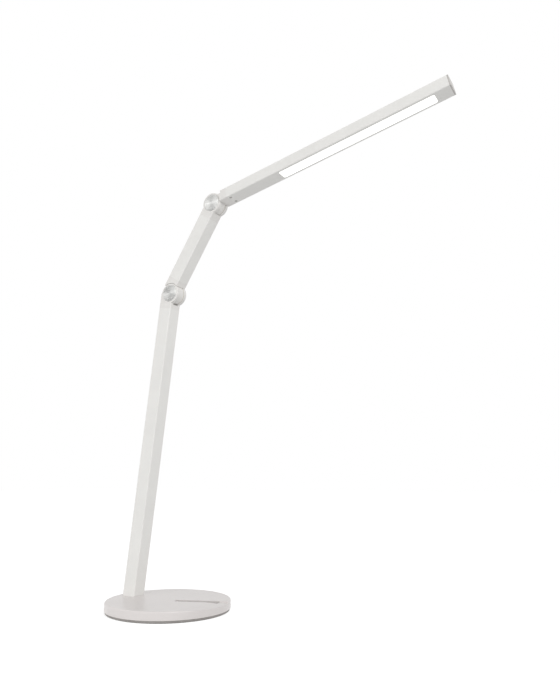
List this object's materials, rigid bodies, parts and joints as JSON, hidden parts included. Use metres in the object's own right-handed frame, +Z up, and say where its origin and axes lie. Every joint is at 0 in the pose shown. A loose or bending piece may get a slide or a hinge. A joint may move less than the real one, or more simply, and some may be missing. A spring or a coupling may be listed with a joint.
{
  "type": "folding led desk lamp",
  "caption": "Desk lamp with a slim light bar on two friction elbows, a leaning square pole and a round weighted base with a phone slot.",
  "frame": {"origin": "centre of the round base, on the desk", "axes": "+Z up; +X is the direction that the head reaches in; the lamp folds in the plane y = 0, so both pivots run along Y"},
  "size_m": [0.5501, 0.184, 0.7185],
  "materials": {
    "pad_rubber": "moulded, matte",
    "weight_steel": "zinc plated steel",
    "cover_paint": "satin off-white",
    "liner_rubber": "soft matte silicone",
    "screw_steel": "zinc plated",
    "board_laminate": "green solder mask",
    "brass_parts": "turned",
    "friction_plastic": "natural acetal",
    "touch_foam": "conductive foam",
    "black_plastic": "moulded",
    "tube_paint": "satin off-white powder coat",
    "casting_paint": "satin off-white powder coat",
    "cable_sheath": "extruded sheath",
    "cap_metal": "turned, satin anodised",
    "black_screw": "black oxide",
    "led_board_metal": "white solder mask",
    "led_phosphor": "phosphor filled resin",
    "reflector_white": "moulded white",
    "opal_acrylic": "opal, lit"
  },
  "bodies": {
    "base": {"foot_pad": "pad_rubber", "base_weight": "weight_steel", "base_cover": "cover_paint", "slot_liner": "liner_rubber", "pole_socket": "weight_steel", "socket_screws": "screw_steel", "cover_screws": "screw_steel", "control_board": "board_laminate", "board_spacers": "brass_parts", "board_screws": "screw_steel", "touch_pads": "touch_foam", "dc_jack": "black_plastic", "pole_tube": "tube_paint", "pole_fork": "casting_paint", "pole_cable": "cable_sheath", "lower_pivot_bolt": "screw_steel", "lower_friction_washers": "friction_plastic", "lower_disc_spring": "screw_steel", "lower_pivot_nut": "screw_steel", "lower_cap_near": "cap_metal", "lower_cap_far": "cap_metal"},
    "middle_arm": {"arm_knuckle": "casting_paint", "arm_tube": "tube_paint", "arm_fork": "casting_paint", "arm_cable": "cable_sheath", "upper_pivot_bolt": "screw_steel", "upper_friction_washers": "friction_plastic", "upper_disc_spring": "screw_steel", "upper_pivot_nut": "screw_steel", "upper_cap_near": "cap_metal", "upper_cap_far": "cap_metal"},
    "head": {"head_neck": "casting_paint", "neck_screws": "black_screw", "head_housing": "tube_paint", "head_end_cap": "casting_paint", "led_board": "led_board_metal", "led_chips": "led_phosphor", "reflector_frame": "reflector_white", "head_diffuser": "opal_acrylic", "head_cable": "cable_sheath"}
  },
  "joints": [
    {"name": "lower_elbow", "type": "hinge", "parent": "base", "child": "middle_arm", "pos_m": [-0.00835, 0, 0.48369], "axis": [0, 1, 0], "range_deg": [-25.4, 64.6]},
    {"name": "upper_elbow", "type": "hinge", "parent": "middle_arm", "child": "head", "pos_m": [0.07082, 0, 0.6217], "axis": [0, 1, 0], "range_deg": [-45.6, 64.4]}
  ]
}
